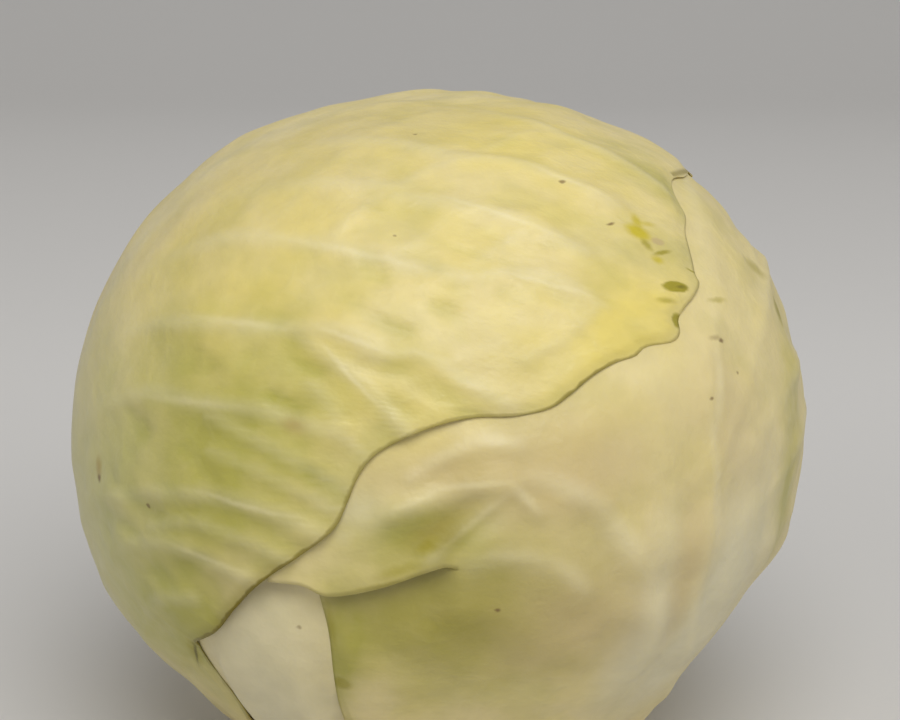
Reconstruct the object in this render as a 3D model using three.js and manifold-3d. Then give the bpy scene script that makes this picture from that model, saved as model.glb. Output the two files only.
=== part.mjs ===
// A white cabbage: a round, slightly flattened head that stands on its trimmed stalk end.
// Millimetres, +Z up, origin at the centre of the flat base, the front of the head toward -Y.
//
// The head is built the way it grows. A tapering stalk runs up into a heart of packed leaves,
// and six wrapper leaves lie round them, each one over those beneath. A leaf is drawn in its
// own leaf plane, in degrees of arc: x across the blade, y along the midrib toward the crown.

import * as THREE from 'three';
import Module from 'manifold-3d';
import { mergeVertices } from 'three/addons/utils/BufferGeometryUtils.js';

const wasm = await Module();
wasm.setup();

// ---------------------------------------------------------------- driving dimensions

const CENTRE_HEIGHT = 88; // height of the head's centre over the flat base
const STATION_STEP = 20; // degrees of latitude between two radii of the profile
const HEAD_PROFILE = [97.5, 96, 94, 92.8, 98, 101, 101.7, 101, 98.4, 96.3]; // -90 to +90 degrees

const BLADE = 1.3; // thickness of a leaf blade
const LAYER_GAP = 1.4; // room between two leaves
const HEART_GAP = 1.5; // more room round the heart, whose facets are larger
const TOUCH_GAP = 0.3; // room round the stalk
const RIB_HALF_WIDTH = 9; // degrees across, where a midrib has thinned away
const RIB_TOP = 70; // degrees up the leaf, where a midrib ends
const RIB_BASE = -90; // degrees down the leaf, where a midrib is thickest
const LAP_START = 10; // degrees outside a margin, where the leaves above begin to sink
const LAP_END = 26; // degrees outside a margin, where they no longer feel it
const CROWN_BOW = 3; // degrees by which the end of a leaf arches outward

const CURVE_SAMPLES = 60; // points along a margin where distances are taken

// The bare leaf stalk that shows at the front stands up from its blade like a low, flat rib.
const FRONT_RIB = { halfWidth: 8.5, flank: 3, height: 3, fullBelow: -36, endsAt: -16 };

// The right outer leaf dips where it passes under its own fold.
const HOLLOW = { lon: 4, lat: -18, spread: 15, depth: 2.5 };

// Radius and height up the stalk.
const STALK_PROFILE = [[0, 0], [17, 0], [17.5, 6], [16, 24], [12.5, 46], [8.5, 62], [4, 69], [0, 71]];
const STALK_SIDES = 32;
const HEART_SLICES = 36;
const HEART_STACKS = 22;
const MERGE_WITHIN = 1e-4; // corners closer than this are one
const FACET_SLACK = 0.05; // how far a sliver of a facet may move to be taken up by its neighbours
const TINY = 1e-9; // keeps a divisor off zero

// ---------------------------------------------------------------- leaves, innermost first

// The margin of a plain round wrapper leaf, from its base up one side.
function roundMargin(side, halfWidth, tip) {
  const across = [0.5, 0.8, 0.97, 1, 0.93, 0.72, 0.4];
  const along = [-62, -36, -10, 18, 44, tip - 22, tip - 7];
  const points = [[9 * side, -91], [17 * side, -81]];
  across.forEach((share, i) => points.push([share * halfWidth * side, along[i]]));
  return points;
}

const LEAVES = [
  {
    name: 'leaf_left_inner', lon: -118, lat: 5, rib: 4, tip: [0, 90], cells: [14, 18], colour: 0xcfcf9a,
    left: roundMargin(-1, 66, 90), right: roundMargin(1, 66, 90),
  },
  {
    name: 'leaf_right_inner', lon: 105, lat: 5, rib: 5, tip: [0, 90], cells: [14, 18], colour: 0xd8d2a6,
    left: roundMargin(-1, 68, 90), right: roundMargin(1, 68, 90),
  },
  {
    name: 'leaf_front', lon: -30, lat: 5, rib: 7, tip: [0, 92], cells: [16, 18], colour: 0xd9d4bd,
    bareRib: FRONT_RIB,
    left: roundMargin(-1, 70, 92), right: roundMargin(1, 72, 92),
  },
  {
    name: 'leaf_back', lon: -168, lat: 5, rib: 8, tip: [0, 96], cells: [16, 20], colour: 0xd2cc98,
    left: roundMargin(-1, 78, 96), right: roundMargin(1, 76, 96),
  },
  {
    name: 'leaf_right_outer', lon: 52, lat: 5, rib: 8, tip: [0, 97], cells: [18, 24], colour: 0xd6caa0,
    left: [
      [-9, -91], [-18, -84], [-38, -72], [-54, -55], [-63, -38], [-66.5, -24], [-69, -9],
      [-77, -6], [-81, 6], [-82, 22], [-78, 42], [-66, 64], [-46, 82], [-26, 92],
    ],
    right: [
      [9, -91], [20, -80], [40, -62], [58, -40], [70, -14], [76, 12], [74, 38], [64, 60], [46, 78],
      [26, 91],
    ],
  },
  {
    name: 'leaf_left_outer', lon: -75, lat: 10, rib: 8, tip: [0, 122], cells: [18, 26], colour: 0xd4cc7c,
    left: [
      [-9, -96], [-18, -82], [-32, -60], [-48, -35], [-60, -10], [-68, 14], [-74, 38], [-74, 60],
      [-66, 80], [-50, 99], [-30, 112],
    ],
    right: [
      [9, -96], [15, -84], [22, -66], [28, -50], [30, -34], [40, -23], [50, -11], [60, 1], [62, 14],
      [72, 26], [82, 36], [85, 50], [88, 61], [82, 74], [72, 86], [57, 98], [42, 106], [30, 113],
    ],
  },
];

// ---------------------------------------------------------------- round the head

const radians = THREE.MathUtils.degToRad;
const degrees = THREE.MathUtils.radToDeg;
const smoothstep = THREE.MathUtils.smoothstep;

// A direction from the head's centre: longitude 0 is the front, and rises toward +X.
function directionAt(longitude, latitude) {
  const lon = radians(longitude);
  const lat = radians(latitude);
  return new THREE.Vector3(Math.sin(lon) * Math.cos(lat), -Math.cos(lon) * Math.cos(lat), Math.sin(lat));
}

// The leaf's own axes: out through the middle of its plane, across it, and up its midrib.
function addAxes(leaf) {
  leaf.out = directionAt(leaf.lon, leaf.lat);
  leaf.across = directionAt(leaf.lon + 90, 0);
  leaf.up = new THREE.Vector3().crossVectors(leaf.out, leaf.across);
}

// A point of the leaf plane, as a direction from the head's centre.
function toDirection(leaf, x, y) {
  const arc = radians(Math.hypot(x, y));
  const direction = leaf.out.clone().multiplyScalar(Math.cos(arc));
  if (arc === 0) return direction;
  const side = leaf.across.clone().multiplyScalar(radians(x)).addScaledVector(leaf.up, radians(y));
  return direction.addScaledVector(side, Math.sin(arc) / arc);
}

// The reverse: where a direction meets the leaf plane.
function toLeafPlane(leaf, direction) {
  const arc = leaf.out.angleTo(direction);
  const stretch = degrees(arc) / Math.max(Math.sin(arc), TINY);
  return new THREE.Vector2(direction.dot(leaf.across) * stretch, direction.dot(leaf.up) * stretch);
}

// How deep the hollow is in a direction.
function hollowDepth(direction) {
  const away = degrees(direction.angleTo(directionAt(HOLLOW.lon, HOLLOW.lat)));
  return HOLLOW.depth * Math.exp(-((away / HOLLOW.spread) ** 2));
}

// Outer radius of the whole head: a smooth curve through the profile's radii, less the hollow.
function headRadius(direction) {
  const latitude = degrees(Math.asin(THREE.MathUtils.clamp(direction.z, -1, 1)));
  const place = (latitude + 90) / STATION_STEP;
  const last = HEAD_PROFILE.length - 1;
  const i = Math.min(Math.floor(place), last - 1);
  const t = place - i;
  const radiusAt = (n) => HEAD_PROFILE[last - Math.abs(last - Math.abs(n))]; // mirrored past each pole
  const [a, b, c, d] = [radiusAt(i - 1), radiusAt(i), radiusAt(i + 1), radiusAt(i + 2)];
  const rise = c - a + t * (2 * a - 5 * b + 4 * c - d + t * (3 * (b - c) + d - a));
  return b + 0.5 * t * rise - hollowDepth(direction);
}

// ---------------------------------------------------------------- leaf outlines

function curveThrough(points) {
  const curve = new THREE.SplineCurve(points.map(([x, y]) => new THREE.Vector2(x, y)));
  curve.arcLengthDivisions = 400;
  return curve;
}

function addOutline(leaf) {
  leaf.leftEdge = curveThrough(leaf.left);
  leaf.rightEdge = curveThrough(leaf.right);
  const up = leaf.rightEdge.getSpacedPoints(CURVE_SAMPLES);
  const down = leaf.leftEdge.getSpacedPoints(CURVE_SAMPLES).reverse();
  leaf.outline = [...up, new THREE.Vector2(...leaf.tip), ...down];
}

// A point of the blade: u runs from -1 at the left margin to 1 at the right, v from base to tip.
function bladePoint(leaf, u, v) {
  const edge = (u < 0 ? leaf.leftEdge : leaf.rightEdge).getPointAt(v);
  const base = (leaf.left[0][1] + leaf.right[0][1]) / 2;
  const spread = Math.abs(u);
  const midribHeight = base + (leaf.tip[1] - base) * v;
  const bow = CROWN_BOW * 4 * spread * (1 - spread) * v ** 3;
  return new THREE.Vector2(edge.x * spread, midribHeight + (edge.y - midribHeight) * spread + bow);
}

// Degrees from a point to the leaf's outline, positive inside it.
function insideBy(leaf, point) {
  let nearest = Infinity;
  let inside = false;
  const corners = leaf.outline;
  corners.forEach((from, i) => {
    const to = corners[(i + 1) % corners.length];
    const side = new THREE.Vector2().subVectors(to, from);
    const toPoint = new THREE.Vector2().subVectors(point, from);
    const crosses = (from.y > point.y) !== (to.y > point.y);
    if (crosses && toPoint.x < (side.x * toPoint.y) / side.y) inside = !inside;
    const along = THREE.MathUtils.clamp(toPoint.dot(side) / Math.max(side.lengthSq(), TINY), 0, 1);
    nearest = Math.min(nearest, toPoint.addScaledVector(side, -along).length());
  });
  return inside ? nearest : -nearest;
}

// ---------------------------------------------------------------- layers

// Thickness of a leaf: its blade, and a midrib that swells toward the base.
function leafThickness(leaf, point) {
  const swell = 1 - smoothstep(point.y, RIB_BASE, RIB_TOP);
  return BLADE + leaf.rib * swell ** 2 * Math.exp(-((point.x / RIB_HALF_WIDTH) ** 2));
}

// How far a bare rib stands up from the blade round it.
function bareRibHeight(leaf, point) {
  if (!leaf.bareRib) return 0;
  const { halfWidth, flank, height, fullBelow, endsAt } = leaf.bareRib;
  const side = 1 - smoothstep(Math.abs(point.x), halfWidth - flank / 2, halfWidth + flank / 2);
  return height * side * (1 - smoothstep(point.y, fullBelow, endsAt));
}

// How much room a leaf takes: its thickness and a gap, fading out past its margin.
function layerDepth(leaf, direction) {
  const point = toLeafPlane(leaf, direction);
  const cover = smoothstep(insideBy(leaf, point), -LAP_END, -LAP_START);
  return cover === 0 ? 0 : cover * (leafThickness(leaf, point) + LAYER_GAP);
}

// Radius over the first `count` leaves: the head's own outside, less the leaves that lie over them.
function layerTop(count, direction) {
  const leavesOver = LEAVES.slice(count);
  return leavesOver.reduce((radius, leaf) => radius - layerDepth(leaf, direction), headRadius(direction));
}

// ---------------------------------------------------------------- solids

function toSolid(geometry) {
  const bare = geometry.clone();
  bare.deleteAttribute('normal');
  bare.deleteAttribute('uv');
  const merged = mergeVertices(bare, MERGE_WITHIN);
  const vertProperties = merged.attributes.position.array;
  return new wasm.Manifold(new wasm.Mesh({ numProp: 3, vertProperties, triVerts: merged.index.array }));
}

function toGeometry(solid) {
  const mesh = solid.getMesh();
  const geometry = new THREE.BufferGeometry();
  geometry.setAttribute('position', new THREE.BufferAttribute(mesh.vertProperties, 3));
  geometry.setIndex(new THREE.BufferAttribute(mesh.triVerts, 1));
  geometry.computeVertexNormals();
  return geometry;
}

function placeVertices(geometry, place) {
  const position = geometry.attributes.position;
  const vertex = new THREE.Vector3();
  for (let i = 0; i < position.count; i++) {
    place(vertex.fromBufferAttribute(position, i));
    position.setXYZ(i, vertex.x, vertex.y, vertex.z);
  }
  return geometry;
}

function placeOnHead(vertex, direction, radius) {
  vertex.copy(direction).multiplyScalar(radius);
  vertex.z += CENTRE_HEIGHT;
}

// The stalk, upright on its cut, grown outward by `extra` where it has to cut a bed for itself.
function stalkGeometry(extra) {
  const points = STALK_PROFILE.map(([radius, height]) => {
    const outward = radius === 0 ? 0 : extra;
    return new THREE.Vector2(radius + outward, height === 0 ? -extra : height + extra);
  });
  return new THREE.LatheGeometry(points, STALK_SIDES).rotateX(Math.PI / 2);
}

// A slab bent round the head between two layers.
function leafGeometry(index) {
  const leaf = LEAVES[index];
  const slab = new THREE.BoxGeometry(2, 1, 1, ...leaf.cells, 1);
  return placeVertices(slab, (vertex) => {
    const point = bladePoint(leaf, vertex.x, vertex.y + 0.5);
    const direction = toDirection(leaf, point.x, point.y);
    const top = layerTop(index + 1, direction);
    const outside = top + bareRibHeight(leaf, point);
    placeOnHead(vertex, direction, vertex.z > 0 ? outside : top - leafThickness(leaf, point));
  });
}

// The packed inner leaves, taken as one round solid that fills what the wrapper leaves enclose.
function heartGeometry() {
  const ball = new THREE.SphereGeometry(1, HEART_SLICES, HEART_STACKS).rotateX(Math.PI / 2);
  return placeVertices(ball, (vertex) => {
    const direction = vertex.clone().normalize();
    placeOnHead(vertex, direction, layerTop(0, direction) - HEART_GAP);
  });
}

LEAVES.forEach(addAxes);
LEAVES.forEach(addOutline);

const stalkBed = toSolid(stalkGeometry(TOUCH_GAP));
const blockSide = 3 * CENTRE_HEIGHT;
const floorBlock = new THREE.BoxGeometry(blockSide, blockSide, blockSide);
const underBase = toSolid(floorBlock.translate(0, 0, -blockSide / 2));

// What is left of a leaf or the heart round the stalk and above the flat cut.
function trimmed(geometry) {
  return toGeometry(toSolid(geometry).subtract(stalkBed).subtract(underBase).simplify(FACET_SLACK));
}

// ---------------------------------------------------------------- the cabbage

const cabbage = new THREE.Group();

function addPiece(name, geometry, colour, roughness) {
  const material = new THREE.MeshStandardMaterial({ color: colour, roughness, metalness: 0 });
  const piece = new THREE.Mesh(geometry, material);
  piece.name = name;
  cabbage.add(piece);
}

addPiece('stalk', stalkGeometry(0), 0xdedac0, 0.6);
addPiece('heart', trimmed(heartGeometry()), 0xe6e2ae, 0.5);
LEAVES.forEach((leaf, i) => addPiece(leaf.name, trimmed(leafGeometry(i)), leaf.colour, 0.45));

export default cabbage;
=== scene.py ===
"""A white cabbage head: six wrapper leaves lapped round a packed heart, on a trimmed stalk.

Every leaf is drawn in its own leaf plane, in degrees of arc: x across the blade, y along the
midrib toward the crown. The plane is then bent round the head, each leaf over those beneath.
Lengths are in millimetres until a mesh is placed.
"""

import math

import bmesh
import bpy
import numpy as np
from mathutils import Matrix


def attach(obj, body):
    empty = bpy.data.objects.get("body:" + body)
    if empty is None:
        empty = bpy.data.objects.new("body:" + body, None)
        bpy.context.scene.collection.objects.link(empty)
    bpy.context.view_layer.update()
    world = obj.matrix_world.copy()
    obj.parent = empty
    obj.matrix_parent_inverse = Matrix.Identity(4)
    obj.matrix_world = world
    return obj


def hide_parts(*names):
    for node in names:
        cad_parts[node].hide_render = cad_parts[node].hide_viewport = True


bl_info = {
    "name": "White Cabbage",
    "version": (1, 0, 0),
    "blender": (4, 5, 0),
    "location": "3D View > Sidebar > Cabbage",
    "description": "Builds a white cabbage head leaf by leaf, and a plain stage to see it on",
    "category": "Object",
}

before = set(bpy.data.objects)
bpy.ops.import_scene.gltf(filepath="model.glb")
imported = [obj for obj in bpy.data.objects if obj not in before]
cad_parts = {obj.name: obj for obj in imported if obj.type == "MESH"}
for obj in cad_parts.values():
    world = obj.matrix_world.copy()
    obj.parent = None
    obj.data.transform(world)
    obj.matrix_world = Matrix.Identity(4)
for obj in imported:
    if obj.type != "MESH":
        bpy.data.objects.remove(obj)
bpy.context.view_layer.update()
BODY = "root"
MM = 0.001

# Radius of the head every 20 degrees of latitude, from the base to the crown.
HEAD_PROFILE = (96.0, 94.4, 92.8, 91.6, 96.8, 99.7, 100.3, 99.6, 97.0, 95.0)
PROFILE_STEP = 20.0

# Broad swells and hollows of the head: longitude, latitude, reach in degrees, height.
HEAD_FORMS = (
    (4.0, -17.0, 14.0, -2.4),
    (-3.0, 5.0, 20.0, -3.2),
    (-70.0, -25.0, 14.0, 3.2),
    (72.0, -31.0, 19.0, -2.4),
    (94.0, 50.0, 8.0, 1.6),
    (93.0, 38.0, 5.0, -1.3),
    (92.0, 29.0, 7.0, 1.2),
    (95.0, 72.0, 12.0, 0.6),
)

# Height and radius up the stalk.
STALK_HEIGHTS = (0.0, 6.0, 24.0, 46.0, 62.0, 69.0, 71.0)
STALK_RADII = (17.0, 17.5, 16.0, 12.5, 8.5, 4.0, 0.0)
STALK_SIDES, STALK_RINGS = 96, 30  # how many faces go round the stalk, and rings up it
STALK_GRIP = 0.3  # how far the leaf bases sink into the stalk
HEART_BASE = 2.0  # height of the heart's flat underside, round the stalk
HEART_GAP = 0.6  # room between the heart and the leaves round it
HEART_SWELL, HEART_SEED = 0.4, 40  # height of the heart's slow swells, and their seed

FOOT_LATITUDE = -79.0  # latitude at which the midrib of every leaf starts
MARGIN_WAVER = 0.014  # how far a margin wavers in and out, as a share of the leaf's width
LAP = 7.0  # degrees past a margin over which the leaves below come up again
SINK_LAP = 28.0  # the same, past the margin of the sunk lobe
LAYER_GAP = 0.25  # room between two leaves
RIB_REACH = 9.0  # degrees across, where a midrib's thickness has fallen off
CROWN_BOW = 3.0  # degrees by which the end of a leaf arches outward
RELIEF_INSIDE = 0.7  # share of the outside's relief that shows on the inside too
DEEPEST = 1.0  # how deep the hollows of a leaf go at most, short of the leaf underneath
HOLLOW_GREEN_AND_SHADE = 0.35  # how far the hollows turn to the darker green: partly the blade's colour, partly painted shade
RIM_DRIED_AND_SHADE = 0.32  # how far a margin has dried to the colour of the rim, which also paints the shade along its edge
RIM_BAND = 2.6  # degrees in from a well dried margin over which the skin has browned
RIB_BARE = 0.85  # how much of the net of fine veins is missing where the leaf is white
VEIN_WHITE = 0.27  # how white the crests of the veins are
NET_WHITE = 0.05  # how white the net of fine veins is
FOLD_SHADE = 0.45  # how much painted shade darkens the skin, deep in the fold under the lip
BUMP_HEIGHT = 0.5  # full height of the bumps that are too fine for the mesh
NET_HEIGHT, CRUMPLE_HEIGHT, GRAIN_HEIGHT = 0.1, 0.45, 0.12  # the share of it each kind takes
RIDGE_GAIN = 1.45  # how far the drawn veins and folds stand up
SWELL_HEIGHT = 0.35  # height of the slow swells of a blade
SWELL_LENGTHS = (0.42, 0.2)  # how long they are, as shares of the head's radius
MARGIN_CURL = 0.25  # how far a margin curls up
EDGE_SETTLE = 0.2  # how far a soft margin settles toward the leaf underneath

# The small and the larger dents between the veins: how deep and how long they are, the step to
# their seed, the heading they run along, and how far they are drawn out along it.
DENTS = ((0.7, 6.0, 2, -8.0, 2.3), (0.6, 10.0, 4, 12.0, 1.5))

UV_SPAN = 100.0  # degrees of the leaf plane to one unit of the UV map
UV_NAME = "leaf_plane"
WAVES = 18  # how many waves make up the noise

# The tear in the right outer leaf: its upper lip, from the margin to where the tear ends.
TEAR_LIP = ((-77, -6.4), (-71.5, -6.2), (-67.2, -7.8), (-60, -5.8), (-52, -2.7), (-48.6, -3.3))
TEAR_REACH = 13.0  # degrees up and down over which the leaf feels the tear
LOBE_SHIFT = 5.8  # degrees by which the lobe below the tear is drawn in
LOBE_TUCK = 3.5  # degrees by which that lobe runs on under the lip
LIP_LIFT = 1.3  # height of the lip over the blade, where the tear gapes
LOBE_SINK = 3.2  # how deep the lobe below the tear lies
SEAM_PART = 1e-4  # how far each side of the tear is moved off its row of cells in the flat slab
SEAM_REACH = 6e-5  # share of the blade's height within which both sides count as on that row


# ------------------------------------------------------------------ curves and noise


def rgb(red, green, blue):
    """A colour as a screen shows it, 0 to 255, as the linear values Blender holds."""
    shares = (red / 255.0, green / 255.0, blue / 255.0)
    return tuple(c / 12.92 if c <= 0.04045 else ((c + 0.055) / 1.055) ** 2.4 for c in shares)


def smoothstep(low, high, value):
    """From 0 at low to 1 at high, level at both ends."""
    t = np.clip((value - low) / (high - low), 0.0, 1.0)
    return t * t * (3.0 - 2.0 * t)


def bell(value, reach):
    """1 at 0, and down to about a third at the reach."""
    return np.exp(-((value / reach) ** 2))


def curve_between(a, b, c, d, t):
    """The smooth curve from b to c that also passes through a and d."""
    rise = c - a + t * (2 * a - 5 * b + 4 * c - d + t * (3 * (b - c) + d - a))
    return b + 0.5 * t * rise


def spline(points, per_span=12):
    """Points along a smooth curve through the given ones."""
    p = np.asarray(points, float)
    p = np.vstack((2 * p[0] - p[1], p, 2 * p[-1] - p[-2]))
    t = np.linspace(0.0, 1.0, per_span, endpoint=False)[:, None]
    spans = [curve_between(*four, t) for four in zip(p[:-3], p[1:-2], p[2:-1], p[3:])]
    return np.vstack(spans + [p[-2:-1]])


def arc_shares(line):
    """How far along a line each of its points is, from 0 to 1."""
    steps = np.hypot(*np.diff(line, axis=0).T)
    return np.concatenate(((0.0,), np.cumsum(steps))) / steps.sum()


def along(line, share):
    """Points at the given shares of a line's length."""
    shares = arc_shares(line)
    return np.stack([np.interp(share, shares, line[:, i]) for i in (0, 1)], axis=-1)


def distance_to(line, points, reach):
    """Distance from points to a line, up to `reach`."""
    distance = np.full(len(points), float(reach))
    low, high = line.min(0) - reach, line.max(0) + reach
    near = np.nonzero(np.all((points > low) & (points < high), axis=1))[0]
    for start, end in zip(line[:-1], line[1:]):
        side, offset = end - start, points[near] - start
        t = np.clip(offset @ side / max(side @ side, 1e-12), 0.0, 1.0)
        distance[near] = np.minimum(distance[near], np.hypot(*(offset - t[:, None] * side).T))
    return distance


def waves(points, length, seed, by_angle=False):
    """Smooth noise, about -1 to 1: plane waves of about one length, at seeded headings."""
    draw = np.random.default_rng(seed)
    if by_angle:
        angles = np.radians(draw.uniform(-180.0, 180.0, WAVES))
        ways = np.stack((np.cos(angles), np.sin(angles)), axis=1)
    else:
        ways = draw.normal(size=(WAVES, points.shape[1]))
        ways /= np.linalg.norm(ways, axis=1)[:, None]
    ways *= (2 * math.pi / length) * draw.uniform(0.7, 1.4, (WAVES, 1))
    return np.sin(points @ ways.T + draw.uniform(0, 2 * math.pi, WAVES)).sum(1) / math.sqrt(WAVES)


def patches(points, places):
    """Soft patches: each is x, y, reach across, reach along, and how strong it is."""
    total = np.zeros(len(points))
    for x, y, across, up, strength in places:
        total += strength * bell(points[:, 0] - x, across) * bell(points[:, 1] - y, up)
    return total


# ------------------------------------------------------------------ the head's shape


def direction_at(longitude, latitude):
    """A direction from the head's centre: longitude 0 is the front, and rises toward +X."""
    lon, lat = math.radians(longitude), math.radians(latitude)
    flat = math.cos(lat)
    return np.array((math.sin(lon) * flat, -math.cos(lon) * flat, math.sin(lat)))


def degrees_from(directions, place):
    """Degrees from each direction to a place on the head."""
    return np.degrees(np.arccos(np.clip(directions @ place, -1.0, 1.0)))


def head_radius(directions):
    """Radius of the whole head, out to its outermost leaves."""
    place = (90.0 + np.degrees(np.arcsin(np.clip(directions[:, 2], -1.0, 1.0)))) / PROFILE_STEP
    i = np.minimum(place.astype(int), len(HEAD_PROFILE) - 2)
    table = np.array((HEAD_PROFILE[1],) + HEAD_PROFILE + (HEAD_PROFILE[-2],))
    radius = curve_between(*(table[i + n] for n in range(4)), place - i)
    for longitude, latitude, reach, height in HEAD_FORMS:
        away = degrees_from(directions, direction_at(longitude, latitude))
        radius = radius + height * bell(away, reach)
    return radius


class Leaf:
    """One wrapper leaf: where its plane lies, its outline, and what is drawn on it."""

    def __init__(self, name, lon, lat, tip, left, right, rib, cells, seed, **drawn):
        self.name, self.tip, self.rib, self.cells, self.seed = name, tip, rib, cells, seed
        self.drawn = drawn
        self.out = direction_at(lon, lat)
        self.across = direction_at(lon + 90.0, 0.0)
        self.up = np.cross(self.out, self.across)
        self.base = FOOT_LATITUDE - lat
        self.left, self.right = spline(left), spline(right)
        for margin, wavy in zip((self.left, self.right), drawn.get("wavy", (True, True))):
            if wavy:
                margin[:, 0] *= 1.0 + MARGIN_WAVER * waves(margin, 13.0, seed)
        edge = np.array(drawn["torn_edge"]) if "torn_edge" in drawn else self.left[::3]
        self.outline = np.vstack((self.right[::3], self.right[-1:], (tip,), edge[::-1]))

    def directions(self, points):
        """Points of the leaf plane, as directions from the head's centre."""
        arc = np.radians(np.hypot(*points.T))
        stretch = np.where(arc > 1e-9, np.sin(arc) / np.maximum(arc, 1e-9), 1.0)
        side = np.radians(points[:, :1]) * self.across + np.radians(points[:, 1:]) * self.up
        return np.cos(arc)[:, None] * self.out + stretch[:, None] * side

    def plane(self, directions):
        """The reverse: where directions meet the leaf plane."""
        arc = np.arccos(np.clip(directions @ self.out, -1.0, 1.0))
        stretch = np.degrees(arc) / np.maximum(np.sin(arc), 1e-9)
        return np.stack((directions @ self.across * stretch, directions @ self.up * stretch), axis=1)

    def inside_by(self, points):
        """Degrees from points to the outline, positive inside it."""
        nearest = np.full(len(points), 1e9)
        inside = np.zeros(len(points), bool)
        for a, b in zip(self.outline, np.roll(self.outline, -1, axis=0)):
            side, offset = b - a, points - a
            t = np.clip(offset @ side / max(side @ side, 1e-12), 0.0, 1.0)
            nearest = np.minimum(nearest, np.hypot(*(offset - t[:, None] * side).T))
            if side[1] != 0.0:
                crosses = (a[1] > points[:, 1]) != (b[1] > points[:, 1])
                inside ^= crosses & (offset[:, 0] < side[0] * offset[:, 1] / side[1])
        return np.where(inside, nearest, -nearest)

    def thickness(self, points, blade):
        """A thin blade, and a midrib that swells toward the base."""
        swell = 1.0 - smoothstep(-90.0, 70.0, points[:, 1])
        return blade + self.rib * swell**2 * bell(points[:, 0], RIB_REACH)


def above_lip(points):
    """Degrees by which points of the torn leaf's plane lie above the lip of the tear."""
    lip_x, lip_y = spline(TEAR_LIP, 10).T
    return points[:, 1] - np.interp(points[:, 0], lip_x, lip_y)


def opened(points):
    """How far the tear gapes: 0 where it ends, 1 toward the margin."""
    return smoothstep(TEAR_LIP[-1][0], TEAR_LIP[-1][0] - 5.0, points[:, 0])


def lobe_sink(points):
    """How far in the lobe below the tear lies."""
    height = above_lip(points)
    level = bell(np.minimum(height, 0.0), TEAR_REACH) * smoothstep(9.0, 4.0, height)
    return LOBE_SINK * opened(points) * level


def fold_shade_share(points, lift):
    """How deep in the fold under the lip the sunk lobe's points lie, from 0 to 1: the share of painted
    shade they get.
    """
    if not lift.any():
        return np.zeros(len(points))
    sunk = np.sqrt(np.clip(-lift / LOBE_SINK, 0.0, 1.0))
    return sunk * bell(np.minimum(above_lip(points), 0.0), 3.0)


def under(leaves_over, directions, blade):
    """Radius under the given leaves, and how fully any of them covers the place."""
    radius = head_radius(directions)
    covered = np.zeros(len(directions))
    for leaf in leaves_over:
        points = leaf.plane(directions)
        inside = leaf.inside_by(points)
        cover = smoothstep(-LAP, 0.0, inside)
        radius -= cover * (leaf.thickness(points, blade) + LAYER_GAP)
        if "torn_edge" in leaf.drawn:
            radius -= smoothstep(-SINK_LAP, 0.0, inside) * lobe_sink(points)
        covered = np.maximum(covered, cover)
    return radius, covered


# ------------------------------------------------------------------ what is drawn on a leaf


def round_margin(side, half_width, tip):
    """The margin of a plain round wrapper leaf, from its base up one side."""
    across = (0.5, 0.8, 0.97, 1.0, 0.93, 0.72, 0.4)
    up = (-62, -36, -10, 18, 44, tip - 22, tip - 7)
    points = [(16 * side, -88.5), (21 * side, -80)]
    return points + [(share * half_width * side, y) for share, y in zip(across, up)]


def side_veins(side, seed, starts, spread, rise=44.0, height=0.5):
    """Veins that leave the midrib at the given heights and bow up toward one margin."""
    draw = np.random.default_rng(seed)
    veins = []
    for start in starts:
        bend = rise * draw.uniform(0.85, 1.15)
        reach = spread * draw.uniform(0.85, 1.0)
        shares = np.array((0.02, 0.2, 0.42, 0.66, 0.85, 1.0))
        up = start + bend * shares**0.75 + draw.normal(0.0, 0.9, 6) * shares
        across = side * reach * shares
        veins.append((list(zip(across, up)), 1.8 * draw.uniform(0.8, 1.2), height))
    return veins


def paired_veins(seed, low, top, step, spreads, height=0.5):
    """Veins toward both margins, those on the right starting a little higher."""
    left = side_veins(-1, seed, range(low, top, step), spreads[0], height=height)
    return left + side_veins(1, seed + 1, range(low + 8, top, step), spreads[1], height=height)


def ridge_relief(points, ridges):
    """Height of broad ridges and grooves, and how near each point is to a ridge's crest."""
    raised, sunk, crest = (np.zeros(len(points)) for _ in range(3))
    for corners, half_width, height in ridges:
        away = distance_to(spline(corners, 6), points, 2.4 * half_width) / half_width
        form = 0.4 * bell(away, 0.7) + 0.6 * smoothstep(2.4, 0.0, away)
        if height > 0:
            raised = np.maximum(raised, height * form)
            crest = np.maximum(crest, min(1.0, height / 0.6) * smoothstep(1.2, 0.0, away))
        else:
            sunk = np.minimum(sunk, height * form)
    return raised + sunk, crest


def stain_share(points, stains):
    """How strongly each point is stained: each stain is a line, its half width and strength."""
    share = np.zeros(len(points))
    for corners, half_width, strength in stains:
        away = distance_to(spline(corners, 6), points, half_width) / half_width
        share = np.maximum(share, strength * smoothstep(1.0, 0.2, away))
    return share


def dents(points, length, seed, heading, stretch):
    """Lens-shaped dents drawn out along a heading: 0 between them, toward 1 where deepest."""
    turn = math.radians(heading)
    lengthwise = points @ np.array((math.cos(turn), math.sin(turn))) / stretch
    crosswise = points @ np.array((-math.sin(turn), math.cos(turn)))
    spread = waves(np.stack((lengthwise, crosswise), axis=1), length, seed, by_angle=True)
    return smoothstep(0.1, 1.5, spread)


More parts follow.
